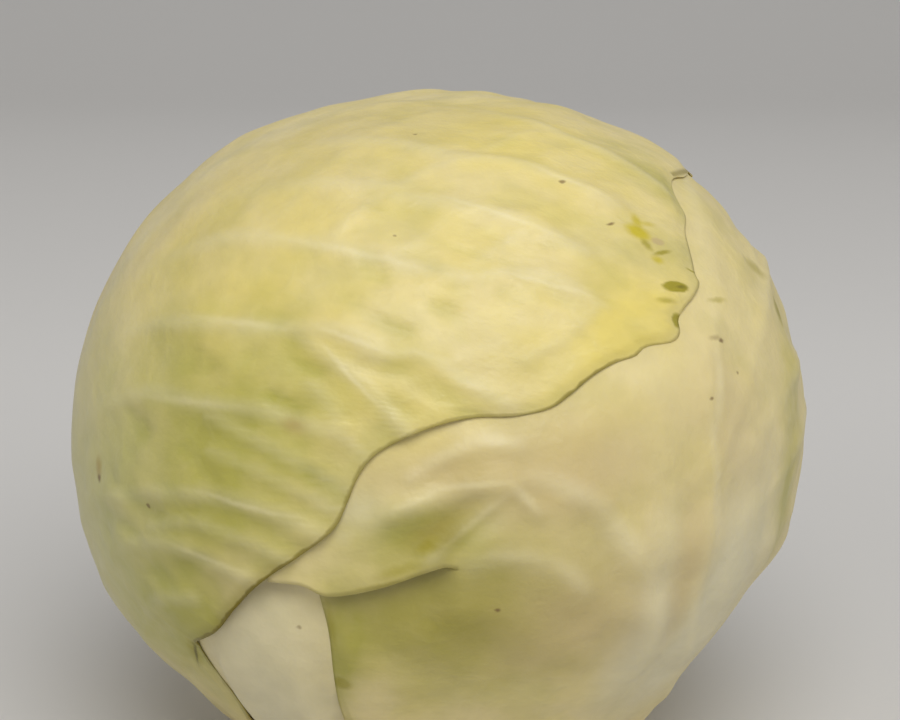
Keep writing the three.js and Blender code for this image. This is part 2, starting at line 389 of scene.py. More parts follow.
LEFT_OUTER_VEINS = [
    ([(1, 72), (8, 81), (18, 86), (28, 89.5), (40, 95), (50, 98.5)], 2.4, 0.6),
    ([(0, 46), (8, 53), (16, 59), (25, 65), (34, 68.5)], 2.4, 0.6),
    ([(34, 68.5), (38.5, 74), (46, 78), (57, 80.5)], 2.2, 0.8),
    ([(0, 30), (10, 40), (20, 46.5), (28, 52), (36, 57.5)], 2.2, 0.5),
    ([(38, 56), (46, 60.5), (55, 64.5), (65, 65.5)], 2.2, 0.65),
    ([(0, 16), (12, 28), (24, 37), (35, 41.5), (45, 44.5), (53, 47), (58, 49)], 2.2, 0.65),
    ([(58, 49), (62, 54), (68, 57.5), (75, 57)], 1.8, 0.45),
    ([(0, 4), (10, 14), (22, 21), (32, 24.5), (42, 28.5), (50, 31.5), (57, 31)], 2.0, 0.7),
    ([(57, 31), (62, 33.5), (70, 32), (76, 31)], 1.5, 0.5),
    ([(44, 29), (50, 27.5), (57, 25.5), (63, 22), (66, 20)], 1.6, 0.6),
    ([(0, -8), (12, 3), (25, 11), (36, 13.5), (46, 16), (53, 16.5), (57, 17)], 1.9, 0.6),
    ([(57, 17), (60, 15.5), (62, 14)], 1.3, 0.5),
    ([(57, 17), (54, 20.5), (50, 22.5)], 1.3, 0.4),
    ([(38, 12.5), (45, 11.8), (53, 10.5), (60, 8.3)], 1.5, 0.5),
    ([(40, 7.5), (48, 7.2), (55, 5.8), (60, 4.5)], 1.4, 0.4),
    ([(0, -18), (12, -10), (24, -5), (36, -0.5), (45, 1.5), (51, 1.5), (58, 0)], 1.9, 0.8),
    ([(30, -8), (38, -4.5), (46, -4), (54, -6)], 1.5, 0.5),
    ([(0, -30), (12, -21), (22, -14), (31, -10), (40, -9.5), (48, -11)], 1.9, 0.75),
    ([(2, -45), (12, -35), (22, -26), (30, -20), (37, -18)], 1.9, 0.65),
    ([(10, 51), (15, 46), (21, 42)], 1.4, 0.3),
    ([(35, 69), (35.5, 60), (37, 50), (38, 42)], 1.5, 0.4),
    ([(57, 65), (57, 56), (58, 48)], 1.5, 0.35),
    ([(28, 88), (31, 80), (35, 72)], 1.4, 0.3),
    ([(11, 77), (15, 69), (20, 62)], 1.4, 0.3),
    ([(20, 59), (24, 52), (27, 44)], 1.4, 0.3),
    ([(75, 57), (76, 48), (74, 40)], 1.3, 0.3),
    ([(46, 60), (48, 53), (47, 46)], 1.3, 0.25),
    ([(31, -30), (27, -34), (22, -38.5), (17, -43)], 0.8, -0.6),
]

RIGHT_OUTER_VEINS = [
    ([(-65, 3.4), (-61, 6.2), (-56, 7.8), (-50.5, 9.2), (-46, 9.9), (-40.5, 9.2)], 2.2, 1.2),
    ([(-40.5, 9.2), (-45, 5.9), (-49, 2.9), (-52.7, -0.8)], 1.5, 0.9),
    ([(-40.5, 9.2), (-39, 7), (-37.5, 5)], 1.3, 0.8),
    ([(-40.5, 9.2), (-35, 9.3), (-30.4, 5.8), (-26.6, 1), (-23, -4.5)], 2.4, 0.8),
    ([(-54, 12.4), (-48, 15.2), (-43, 16.4), (-38.5, 14.8)], 1.8, 0.6),
    ([(-47, -2.4), (-43, -1.6), (-38, -2.6), (-34, -4.9), (-31, -8.6)], 2.6, 0.6),
    ([(-23, -4.5), (-19.6, -12), (-17.2, -20), (-15.4, -29)], 2.4, 0.8),
    ([(-62, -1), (-57, 1.8), (-52, 4), (-47, 6.2)], 2.6, -0.8),
    ([(-31, 2), (-28, -6), (-26, -15), (-24, -26)], 2.4, -0.7),
    ([(-14.2, 6), (-14.8, -4), (-13.6, -18), (-9, -32), (-2, -50)], 2.2, -0.8),
    ([(-5, 22), (-8, 14), (-9.4, 6), (-10.2, -4), (-9.6, -15), (-4.8, -28), (2, -42)], 1.6, 1.1),
    ([(-8, 6), (0, 13.5), (9, 20), (20, 25), (32, 29)], 1.6, 0.8),
    ([(-7, 12), (-4, 19), (3, 30), (12, 40), (26, 48)], 1.8, 0.8),
    ([(-6, 3), (3, 7.5), (14, 10.5), (28, 14)], 1.8, 0.7),
    ([(-4, -4), (8, -2), (20, 2), (32, 4)], 1.8, 0.6),
    ([(-6, 16), (-8, 26), (-8, 40)], 1.6, 0.4),
]

LEAVES = (
    Leaf(
        "leaf_left_inner", -118, 5, (0, 90),
        round_margin(-1, 66, 90), round_margin(1, 66, 90), rib=4.0, cells=(44, 44, 110), seed=11,
        veins=paired_veins(21, -60, 60, 17, (60, 60)),
        green=((30, 10, 40, 50, 0.4),), yellow=((0, 80, 50, 30, 0.5),), white=(),
    ),
    Leaf(
        "leaf_right_inner", 105, 5, (0, 90),
        round_margin(-1, 68, 90), round_margin(1, 68, 90), rib=5.0, cells=(60, 60, 140), seed=12,
        veins=paired_veins(23, -60, 60, 17, (62, 62)),
        green=((-30, 10, 40, 50, 0.3),), yellow=((0, 80, 50, 30, 0.4),), white=(),
    ),
    Leaf(
        "leaf_front", -30, 5, (0, 92),
        round_margin(-1, 70, 92), round_margin(1, 72, 92), rib=7.0, cells=(70, 70, 190), seed=13,
        veins=paired_veins(25, -10, 60, 17, (62, 62)),
        green=(), yellow=(), white=((0, -50, 16, 60, 1.0),), bare_rib=True,
    ),
    Leaf(
        "leaf_back", -168, 5, (0, 96),
        round_margin(-1, 78, 96), round_margin(1, 76, 96), rib=8.0, cells=(92, 90, 220), seed=14,
        veins=paired_veins(27, -66, 66, 15, (72, 70), height=0.8),
        green=((-40, -10, 40, 40, 0.5), (40, 0, 36, 40, 0.4)), yellow=((0, 80, 60, 30, 0.5),),
        white=((0, -50, 9, 60, 0.8),), puckers=((0, 0, 70, 90, 0.5),),
    ),
    Leaf(
        "leaf_right_outer", 52, 5, (0, 97),
        (
            (-16, -88.5), (-22, -84), (-38, -72), (-54, -55), (-63.5, -40), (-70, -27), (-74.5, -15),
            (-77, -6.4), (-80.5, 6), (-82, 22), (-78, 42), (-66, 64), (-46, 82), (-26, 92),
        ),
        (
            (16, -88.5), (23, -80), (40, -62), (58, -40), (70, -14), (76, 12), (74, 38), (64, 60),
            (46, 78), (26, 91),
        ),
        rib=8.0, cells=(120, 74, 222), seed=15, wavy=(False, True),
        veins=RIGHT_OUTER_VEINS + side_veins(1, 29, range(-66, 40, 15), 70, height=0.3),
        green=(
            (-50, -13, 20, 18, 0.9), (-52, 4, 9, 4, 0.8), (-66, -24, 3.4, 17, 0.9), (13, -4, 4, 12, 0.8),
            (19, 11, 4, 8, 0.6), (-5, -1, 3, 4, 0.2),
        ),
        yellow=((0, 80, 60, 26, 0.3), (-46, 14, 20, 7, 0.4)),
        white=(
            (-5, -14, 5, 20, 0.7), (-8, -30, 10, 16, 0.8), (-19, -18, 5, 16, 0.8), (3, -10, 8, 18, 0.7),
            (-62, 8, 5, 4, 0.5),
        ),
        soft_edge=((-69, -25, 9, 20, 1.2),),
        torn_edge=(
            (-16, -88.5), (-22, -84), (-38, -72), (-53, -55), (-62, -40), (-64.5, -35), (-66, -29),
            (-67.2, -22), (-69, -15), (-71, -9), (-77, -6.4), (-80.5, 6), (-82, 22), (-78, 42),
            (-66, 64), (-46, 82), (-26, 92),
        ),
    ),
    Leaf(
        "leaf_left_outer", -75, 10, (2, 121),
        (
            (-16, -93.7), (-22, -82), (-34, -60), (-48, -35), (-60, -10), (-68, 14), (-74, 38),
            (-74, 60), (-66, 80), (-50, 99), (-30, 112), (-14, 118),
        ),
        (
            (16, -93.7), (18, -84), (22, -66), (28, -50), (29.5, -39), (31.5, -30), (33.5, -27.6),
            (36, -26), (40, -23), (45, -17), (50, -11), (56, -4.5), (60, 1), (61, 6), (61.5, 11),
            (62.8, 15.5), (66, 20), (69.5, 24), (73, 27), (77.5, 29.5), (81, 33), (82.3, 37),
            (83.2, 43), (84.5, 48), (86, 51.5), (86, 55), (88.2, 60), (87.5, 63.5), (85, 66.5),
            (83.3, 71), (81.5, 76), (79, 80.5), (76.5, 82.2), (72, 86), (65, 91), (57, 98),
            (50, 101), (42, 105), (36, 109), (30, 114), (22, 118), (14, 120.5),
        ),
        rib=8.0, cells=(74, 126, 232), seed=16, wavy=(True, False),
        veins=LEFT_OUTER_VEINS + side_veins(-1, 30, range(-70, 88, 15), 68, rise=36, height=0.3),
        green=(
            (41, 8, 24, 22, 0.95), (28, -30, 20, 20, 0.7), (38, -22, 10, 7, 0.4), (45, 101, 18, 7, 0.6),
            (70, 80, 12, 9, 0.3),
        ),
        yellow=(
            (82, 58, 8, 22, 0.9), (50, 55, 55, 40, 0.3), (28, 84, 28, 14, 0.5), (55, 24, 22, 14, 0.4),
            (27, 30, 14, 14, 0.4),
        ),
        # The first white patch is the pale midrib, with painted sheen on it where it lies at the grazing
        # side of the head.
        white=((-2, 20, 5, 60, 0.4), (4, -16, 14, 30, 0.5)),
        puckers=((56, 24, 26, 26, 1.0), (34, -8, 22, 20, 1.0), (58, 54, 26, 16, 0.6)),
        calm=((-4, -8, 22, 42, 0.9),),
        # Dried margins; their dark rim also paints the shade along the margin's edge.
        dried=((40, -16, 30, 34, 0.7), (74, 26, 8, 10, 0.35), (83, 42, 8, 14, 0.6)),
        soft_edge=(
            (50, 100, 36, 17, 0.9), (20, 118, 20, 10, 0.8), (86, 58, 14, 28, 1.1), (78, 28, 12, 8, 0.5),
            (29, -40, 6, 9, 0.9),
        ),
        stains=(([(12, 121), (20, 118.5), (29, 113.5), (35, 109)], 0.9, 0.6),),
    ),
)


# ------------------------------------------------------------------ settings


def colour_setting(name, description, default):
    """A colour that a user can change."""
    return bpy.props.FloatVectorProperty(
        name=name, description=description, default=default, size=3, min=0.0, max=1.0, subtype="COLOR"
    )


class CabbageSettings(bpy.types.PropertyGroup):
    """Sizes and colours of the cabbage."""

    centre_height: bpy.props.FloatProperty(
        name="Centre Height",
        description="Height of the head's centre over the flat base",
        default=0.088,
        min=0.02,
        unit="LENGTH",
    )
    blade: bpy.props.FloatProperty(
        name="Blade Thickness",
        description="Thickness of a leaf away from its midrib",
        default=0.001,
        min=0.0003,
        unit="LENGTH",
    )
    relief: bpy.props.FloatProperty(
        name="Relief",
        description="Height of the veins and puckers, where 1 is as grown",
        default=1.0,
        min=0.0,
        max=2.0,
        subtype="FACTOR",
    )
    cream: colour_setting("Cream", "Colour of a blanched blade", rgb(222, 205, 147))
    yellow: colour_setting("Yellow", "Colour of the blade over the crown", rgb(225, 205, 113))
    green: colour_setting("Green", "Colour of the blade where light has greened it", rgb(176, 169, 80))
    white: colour_setting("White", "Colour of the ribs and veins", rgb(216, 207, 172))
    # The rim colour is dark enough to paint the shade along a leaf's edge as well.
    rim: colour_setting("Rim", "Colour of a leaf's dried rim", rgb(116, 102, 6))


class StageSettings(bpy.types.PropertyGroup):
    """Colour and light of the stage."""

    floor: colour_setting("Floor", "Colour of the floor and backdrop", rgb(209, 207, 204))
    key: bpy.props.FloatProperty(
        name="Key Lamp",
        description="Power of the soft lamp over the cabbage, in watts",
        default=12.4,
        min=0.0,
    )
    sky: bpy.props.FloatProperty(
        name="Sky",
        description="Strength of the even light from all round",
        default=0.44,
        min=0.0,
    )


# ------------------------------------------------------------------ node helpers


class Nodes:
    """Adds nodes to a tree; an input is a value or another node's output."""

    def __init__(self, tree):
        self.tree = tree

    def feed(self, socket, value):
        """Links a socket to another, or sets its value."""
        if isinstance(value, bpy.types.NodeSocket):
            self.tree.links.new(value, socket)
        elif value is not None:
            socket.default_value = value

    def add(self, kind, inputs=(), output=0, **settings):
        """Adds a node of this kind, and gives one of its outputs."""
        node = self.tree.nodes.new(kind)
        for name, value in settings.items():
            setattr(node, name, value)
        for key, value in dict(inputs).items():
            self.feed(node.inputs[key], value)
        return node.outputs[output]

    def place(self, group, inputs):
        """A node group placed in this tree."""
        node = self.tree.nodes.new("ShaderNodeGroup")
        node.node_tree = group
        for key, value in inputs.items():
            self.feed(node.inputs[key], value)
        return node.outputs

    def math(self, operation, a, b=None, c=None, clamp=False):
        inputs = {0: a, 1: b, 2: c}
        return self.add("ShaderNodeMath", inputs, operation=operation, use_clamp=clamp)

    def vector(self, operation, a, b=None, scale=None, output=0):
        inputs = {0: a} if b is None else {0: a, 1: b}
        if scale is not None:
            inputs["Scale"] = scale
        return self.add("ShaderNodeVectorMath", inputs, output, operation=operation)

    def mix(self, share, a, b):
        """Colour a, turning into b as the share goes to 1."""
        inputs = {0: share, 6: a, 7: b}
        return self.add("ShaderNodeMix", inputs, 2, data_type="RGBA")

    def ramp(self, value, low, high, to_low=0.0, to_high=1.0):
        """From to_low at low to to_high at high, level at both ends."""
        inputs = {"Value": value, 1: low, 2: high, 3: to_low, 4: to_high}
        return self.add("ShaderNodeMapRange", inputs, interpolation_type="SMOOTHSTEP")

    def noise(self, vector, scale, detail=2.0, output=0):
        inputs = {"Vector": vector, "Scale": scale, "Detail": detail}
        return self.add("ShaderNodeTexNoise", inputs, output)

    def cells(self, vector, scale):
        """Distance to the nearest wall of a net of cells."""
        inputs = {"Vector": vector, "Scale": scale}
        return self.add("ShaderNodeTexVoronoi", inputs, "Distance", feature="DISTANCE_TO_EDGE")

    def attribute(self, name):
        return self.add("ShaderNodeAttribute", (), "Fac", attribute_name=name)


def new_group(name, inputs, outputs):
    """A new node group with named sockets: the group, its nodes, and its two ends."""
    group = bpy.data.node_groups.new(name, "ShaderNodeTree")
    for in_out, sockets in (("INPUT", inputs), ("OUTPUT", outputs)):
        for label, kind in sockets:
            group.interface.new_socket(label, in_out=in_out, socket_type="NodeSocket" + kind)
    source = group.nodes.new("NodeGroupInput").outputs
    sink = group.nodes.new("NodeGroupOutput").inputs
    return group, Nodes(group), source, sink


def spot_group():
    """A soft, slightly ragged spot at one place of the leaf plane."""
    name = "Leaf Spot"
    if name in bpy.data.node_groups:
        return bpy.data.node_groups[name]
    inputs = (
        ("Vector", "Vector"), ("Place", "Vector"), ("Size", "Vector"), ("Turn", "Float"),
        ("Softness", "Float"),
    )
    group, nodes, source, sink = new_group(name, inputs, (("Mask", "Float"),))
    ragged = nodes.noise(source["Vector"], 90.0, 2.0, "Color")
    ragged = nodes.vector("SUBTRACT", ragged, (0.5, 0.5, 0.5))
    ragged = nodes.vector("SCALE", ragged, scale=0.006)
    moved = nodes.vector("ADD", source["Vector"], ragged)
    offset = nodes.vector("SUBTRACT", moved, source["Place"])
    turn = nodes.math("MULTIPLY", source["Turn"], -1.0)
    offset = nodes.add("ShaderNodeVectorRotate", {"Vector": offset, "Angle": turn})
    offset = nodes.vector("DIVIDE", offset, source["Size"])
    away = nodes.vector("LENGTH", offset, output="Value")
    start = nodes.math("SUBTRACT", 1.0, source["Softness"])
    nodes.feed(sink["Mask"], nodes.ramp(away, start, 1.0, 1.0, 0.0))
    return group


# The tones of leaf skin, and the masks that mix them, each with the mesh attribute it reads.
TONES = ("Cream", "Yellow", "Green", "White", "Rim")
MASKS = {
    "Yellow Mask": "yellow", "Green Mask": "green", "White Mask": "white", "Vein Mask": "vein",
    "Stain Mask": "stain", "Rim Mask": "rim", "Fold Mask": "fold", "Margin": "margin", "Net": "net",
}


def skin_group():
    """Leaf colour from its masks, with mottling, a dried rim that also paints the shade at the edge,
    painted shade in the fold and a net of fine veins.
    """
    name = "Leaf Skin"
    if name in bpy.data.node_groups:
        return bpy.data.node_groups[name]
    inputs = [("Vector", "Vector")] + [(tone, "Color") for tone in TONES]
    inputs += [(mask, "Float") for mask in MASKS]
    outputs = (("Color", "Color"), ("Height", "Float"), ("Roughness", "Float"))
    group, nodes, source, sink = new_group(name, inputs, outputs)
    vector = source["Vector"]
    drift = nodes.vector("SCALE", nodes.noise(vector, 14.0, 2.0, "Color"), scale=0.035)
    bent = nodes.vector("ADD", vector, drift)
    net = nodes.ramp(nodes.cells(bent, 26.0), 0.0, 0.22, 1.0, 0.0)
    net = nodes.math("MULTIPLY", net, nodes.ramp(nodes.noise(vector, 9.0, 1.0), 0.4, 0.7))
    net = nodes.math("MULTIPLY", net, source["Net"])
    broad = nodes.ramp(nodes.noise(vector, 8.0, 3.0), 0.3, 0.7, -0.18, 0.18)
    green = nodes.math("ADD", broad, source["Green Mask"], clamp=True)
    warm = nodes.ramp(nodes.noise(vector, 10.0, 1.5), 0.3, 0.7, -0.2, 0.2)
    yellow = nodes.math("ADD", warm, source["Yellow Mask"], clamp=True)
    color = nodes.mix(yellow, source["Cream"], source["Yellow"])
    color = nodes.mix(green, color, source["Green"])
    pale = nodes.math("MULTIPLY", source["Vein Mask"], VEIN_WHITE)
    pale = nodes.math("MAXIMUM", source["White Mask"], pale)
    pale = nodes.math("MULTIPLY_ADD", net, NET_WHITE, pale, clamp=True)
    color = nodes.mix(pale, color, source["White"])
    shade = nodes.ramp(nodes.noise(vector, 24.0, 2.0), 0.25, 0.75, 0.965, 1.03)
    color = nodes.vector("SCALE", color, scale=shade)
    # A dried rim and a browned band in from it; the rim's dark colour also paints the shade along the
    # edge.
    ragged = nodes.math("MULTIPLY_ADD", nodes.noise(vector, 30.0, 3.0), -1.2, source["Margin"])
    rim = nodes.math("MULTIPLY", nodes.ramp(ragged, -0.35, 0.25, 1.0, 0.0), source["Rim Mask"])
    browned = nodes.math("POWER", source["Rim Mask"], 3.0)
    band = nodes.ramp(source["Margin"], 0.3, RIM_BAND, 0.4, 0.0)
    band = nodes.math("MULTIPLY", band, browned)
    rim = nodes.math("MAXIMUM", nodes.math("MAXIMUM", rim, band), source["Stain Mask"])
    color = nodes.mix(rim, color, source["Rim"])
    # Painted shade, deep in the fold under the lip.
    deep = nodes.math("MULTIPLY", source["Fold Mask"], FOLD_SHADE)
    color = nodes.vector("SCALE", color, scale=nodes.math("SUBTRACT", 1.0, deep))
    grain = nodes.math("MULTIPLY", nodes.noise(vector, 110.0, 3.0), GRAIN_HEIGHT)
    nodes.feed(sink["Color"], color)
    crumple = nodes.math("MULTIPLY_ADD", nodes.noise(vector, 38.0, 2.0), CRUMPLE_HEIGHT, grain)
    nodes.feed(sink["Height"], nodes.math("MULTIPLY_ADD", net, NET_HEIGHT, crumple))
    nodes.feed(sink["Roughness"], nodes.ramp(nodes.noise(vector, 22.0, 2.0), 0.3, 0.7, 0.40, 0.52))
    return group


# Tints of the marks, and of the painted shade and painted light.
BROWN = rgb(112, 84, 48)
TAN = rgb(172, 148, 84)
OLIVE = rgb(154, 142, 28)
BRIGHT_YELLOW = rgb(196, 178, 40)
# Painted shade: it darkens the upper left and the right of the big outer leaf, the lower left of the
# right outer leaf and the valley under its folded ridge.
SHADED = rgb(148, 134, 54)
FAWN = rgb(192, 171, 122)
# Painted light: it brightens the lower left of the big outer leaf toward grey.
GREYISH_PAINTED_LIGHT = rgb(186, 192, 132)
# Paler vein crests, with a painted highlight along the lit side of each ridge.
PALE_AND_HIGHLIGHT = rgb(238, 226, 182)
DARK = rgb(84, 76, 18)

# Marks on the leaves, with spots of painted shade and painted light among them, in the order they are
# laid. After a tint come its spots: where each is in the leaf plane, its reach across and up, its turn
# in degrees, how soft it is and how strong.
SPOTS = {
    "leaf_left_outer": (
        # Painted shade over the upper left of the blade.
        (SHADED, (12, 62, 30, 60, 0, 1, 0.16)),
        # Painted light over the lower left of the blade, toward grey.
        (GREYISH_PAINTED_LIGHT, (12, -14, 34, 50, 0, 1, 0.4)),
        # Painted shade on the right of the blade.
        (SHADED, (70, 39, 15, 8, 0, 1, 0.14)),
        # Pale crest lines on the main veins, partly painted highlight.
        (
            PALE_AND_HIGHLIGHT, (35.5, 26.4, 12, 1, 17, 1, 0.2), (53, 31.2, 8, 0.8, 4, 1, 0.35),
            (55, 25.8, 10, 0.7, -26, 1, 0.35), (34, 12.9, 13, 1, 15, 1, 0.2),
            (47, 1.3, 11, 0.8, 3, 1, 0.3), (41, -9.4, 9, 0.8, -3, 1, 0.25),
            (67, 55.4, 9, 0.9, 20, 1, 0.3), (52, 62.8, 14, 0.9, 16, 1, 0.3),
            (41, 43.2, 16, 1.1, 17, 1, 0.25), (48, 78.2, 9, 0.9, 16, 1, 0.25),
        ),
        (TAN, (14.9, -3.8, 1.6, 2.6, 0, 0.9, 0.7)),
        (BROWN, (15.2, -5.4, 0.9, 1, 0, 0.8, 0.8), (29.2, -4.9, 0.6, 0.6, 0, 0.6, 0.7)),
        (TAN, (50.6, 15.6, 3, 2, 0, 1, 0.6)),
        (
            BROWN, (48.6, 77.5, 0.7, 0.6, 0, 0.7, 0.7), (22.2, 68.9, 0.6, 0.5, 0, 0.7, 0.6),
            (44.8, 49.5, 0.4, 0.4, 0, 0.7, 0.5), (61.2, 76.4, 0.6, 1.2, 0, 0.9, 0.8),
        ),
        (
            BRIGHT_YELLOW, (64.5, 79.2, 3.8, 2.8, -26, 0.7, 0.95), (61.4, 82, 3.6, 1.4, -37, 0.9, 0.8),
            (62.3, 83.6, 1.4, 2.4, 0, 0.9, 0.5), (71.8, 76.6, 1.6, 1.8, 0, 0.9, 0.8),
        ),
        (OLIVE, (67.9, 77.7, 2.4, 1.2, -21, 0.8, 0.7), (70.3, 79.2, 0.8, 3.4, 4, 0.8, 0.8)),
        (FAWN, (67.5, 80.9, 1.4, 1.8, 0, 0.5, 0.8)),
        (OLIVE, (78.6, 73.5, 1.9, 3.3, -12, 0.35, 0.95)),
        (DARK, (79, 74.6, 0.8, 1.8, -12, 0.9, 0.5)),
        (OLIVE, (80.6, 68, 1.4, 2.8, -25, 0.9, 0.6), (85.1, 65.8, 2.8, 1.4, -55, 0.5, 0.9)),
        (BROWN, (86.7, 65.8, 0.6, 0.6, 0, 0.8, 0.7)),
        # The second olive spot and the dark line after it are painted shade in the tear near the foot of
        # the blade.
        (OLIVE, (75.6, 82, 1.6, 0.6, 40, 0.8, 0.8), (28, -33.2, 7.4, 1.8, 56, 1, 0.7)),
        (DARK, (28.4, -32.9, 6.6, 0.5, 56, 0.9, 0.8)),
    ),
    "leaf_right_outer": (
        # Painted shade over the lower left of the leaf and in the valley under its folded ridge.
        (SHADED, (-48, -13, 28, 22, 0, 1, 0.5), (-51.6, 3.8, 9.6, 3.8, 28, 1, 0.7)),
        (
            FAWN, (-50, 13, 18, 7, 0, 1, 0.55), (-33, 10, 26, 16, 0, 1, 0.7),
            (-30, -14, 22, 20, 0, 1, 0.6), (-13.6, -8, 5, 20, 0, 1, 0.6), (-5, 9, 14, 22, 0, 1, 0.4),
        ),
        # More painted shade in that valley.
        (SHADED, (-50.5, 2.2, 5, 3, 30, 1, 0.5)),
        # Pale crest lines on the folded ridges, partly painted highlight.
        (
            PALE_AND_HIGHLIGHT, (-53.4, 9, 7, 1.1, 16, 1, 0.25), (-45.4, 10.3, 6.6, 1, -3, 1, 0.32),
            (-39.2, 7.4, 4, 1.2, -55, 1, 0.3), (-46, 4.9, 8.6, 0.9, 39, 1, 0.15),
            (-44.6, 3, 7, 2.4, 39, 1, 0.2), (-41, -1.6, 7.4, 1.4, -10, 1, 0.12),
            (-33.2, -5.6, 5.6, 2.2, -48, 1, 0.18),
        ),
        (OLIVE, (-59.8, -5.3, 8.4, 0.8, 17, 1, 0.4), (-72, -6.8, 4.6, 0.8, -8, 1, 0.4)),
        # Pale lines on the lit side of the ridges and creases, partly painted highlight.
        (
            PALE_AND_HIGHLIGHT, (-48, 15.8, 7, 1.6, 20, 1, 0.2), (-41, 16.2, 4.6, 1.6, -16, 1, 0.25),
            (-33, 7.4, 8, 2.6, -34, 1, 0.3), (-25, -2, 8.6, 3.4, -55, 1, 0.3),
            (-18.4, -16, 13, 3.6, -75, 1, 0.4), (-8.8, 2, 1.6, 16, 0, 1, 0.25),
            (-6, 15.4, 10, 1.6, 66, 1, 0.3), (-7.4, -22, 14, 2, -66, 1, 0.3),
        ),
        (
            OLIVE, (-67.9, -16, 9.6, 1.1, -81, 1, 0.5), (-53.2, 1.2, 3.4, 1.6, 35, 1, 0.6),
            (-57.5, -2.8, 5, 1.6, 20, 1, 0.5),
        ),
        (BROWN, (-1.7, 21.9, 0.8, 0.5, -12, 0.8, 0.8), (-2.7, 22.6, 1.8, 0.7, -12, 1, 0.4)),
        (
            OLIVE, (2.4, 27.4, 3, 0.7, -12, 0.9, 0.5), (21.2, 29, 1.8, 5, 53, 0.9, 0.5),
            (23.8, 21.6, 2.8, 3.6, -38, 0.8, 0.8),
        ),
        (
            BROWN, (-8.1, 14.9, 0.5, 0.4, 0, 0.8, 0.7), (-0.3, 16.9, 0.4, 0.4, 0, 0.8, 0.6),
            (-43.3, -11, 0.6, 0.6, 0, 0.8, 0.8),
        ),
        (OLIVE, (-64.8, -30.4, 2.2, 2.4, 0, 0.6, 0.6)),
    ),
    "leaf_front": ((BROWN, (8.8, -16, 0.6, 0.5, 0, 0.8, 0.5), (7.2, -36, 1.2, 0.7, 0, 0.9, 0.3)),),
}


def leaf_material(settings, leaf):
    """Waxy leaf skin, with that leaf's own marks and its spots of painted shade and painted light."""
    material = bpy.data.materials.new(leaf.name.replace("_", " "))
    material.use_nodes = True
    nodes = Nodes(material.node_tree)
    plane = nodes.add("ShaderNodeUVMap", uv_map=UV_NAME)
    inputs = {label: nodes.attribute(name) for label, name in MASKS.items()}
    for label in TONES:
        inputs[label] = (*getattr(settings, label.lower()), 1.0)
    skin = nodes.place(skin_group(), {"Vector": plane, **inputs})
    color = skin["Color"]
    for tint, *spots in SPOTS.get(leaf.name, ()):
        for x, y, across, up, turn, softness, strength in spots:
            spot = {
                "Vector": plane,
                "Place": (x / UV_SPAN, y / UV_SPAN, 0.0),
                "Size": (across / UV_SPAN, up / UV_SPAN, 1.0),
                "Turn": math.radians(turn),
                "Softness": softness,
            }
            mask = nodes.place(spot_group(), spot)["Mask"]
            color = nodes.mix(nodes.math("MULTIPLY", mask, strength), color, (*tint, 1.0))
    bump = nodes.add("ShaderNodeBump", {"Height": skin["Height"], "Distance": BUMP_HEIGHT * MM})
    shader = material.node_tree.nodes["Principled BSDF"].inputs
    nodes.feed(shader["Base Color"], color)
    nodes.feed(shader["Roughness"], skin["Roughness"])
    nodes.feed(shader["Normal"], bump)
    nodes.feed(shader["Specular IOR Level"], 0.4)
    nodes.feed(shader["Subsurface Weight"], 0.15)
    nodes.feed(shader["Subsurface Radius"], (1.0, 0.9, 0.35))
    nodes.feed(shader["Subsurface Scale"], 0.003)
    return material


def plain_material(name, color, roughness):
    """One colour and one roughness all over."""
    material = bpy.data.materials.new(name)
    material.use_nodes = True
    shader = material.node_tree.nodes["Principled BSDF"].inputs
    shader["Base Color"].default_value = (*color, 1.0)
    shader["Roughness"].default_value = roughness
    return material


def floor_material(color):
    """Matt paper, with painted light: a brighter band behind the cabbage."""
    material = plain_material("floor and backdrop", color, 0.9)
    nodes = Nodes(material.node_tree)
    place = nodes.add("ShaderNodeTexCoord", output="Object")
    behind = nodes.add("ShaderNodeSeparateXYZ", {0: place}, "Y")
    # Painted light: the floor and backdrop are brighter in a band behind the cabbage.
    band = nodes.math("MULTIPLY", nodes.ramp(behind, 0.0, 0.5), nodes.ramp(behind, 0.6, 1.7, 1.0, 0.0))
    painted_light_gain = nodes.ramp(band, 0.0, 1.0, 1.0, 1.18)
    shade = nodes.vector("SCALE", (*color,), scale=painted_light_gain)
    nodes.feed(material.node_tree.nodes["Principled BSDF"].inputs["Base Color"], shade)
    return material


def cut_material():
    """The flesh of a leaf where it is cut through, the same on every leaf."""
    return bpy.data.materials.get("cut leaf") or plain_material("cut leaf", rgb(214, 206, 170), 0.6)


# ------------------------------------------------------------------ leaf sheets


def tear_row(leaf):
    """The share of the left margin at which the tear starts, and the row of cells it follows."""
    shares = arc_shares(leaf.left)
    start = shares[np.argmin(np.hypot(*(leaf.left - TEAR_LIP[0]).T))]
    return start, round(start * leaf.cells[2])


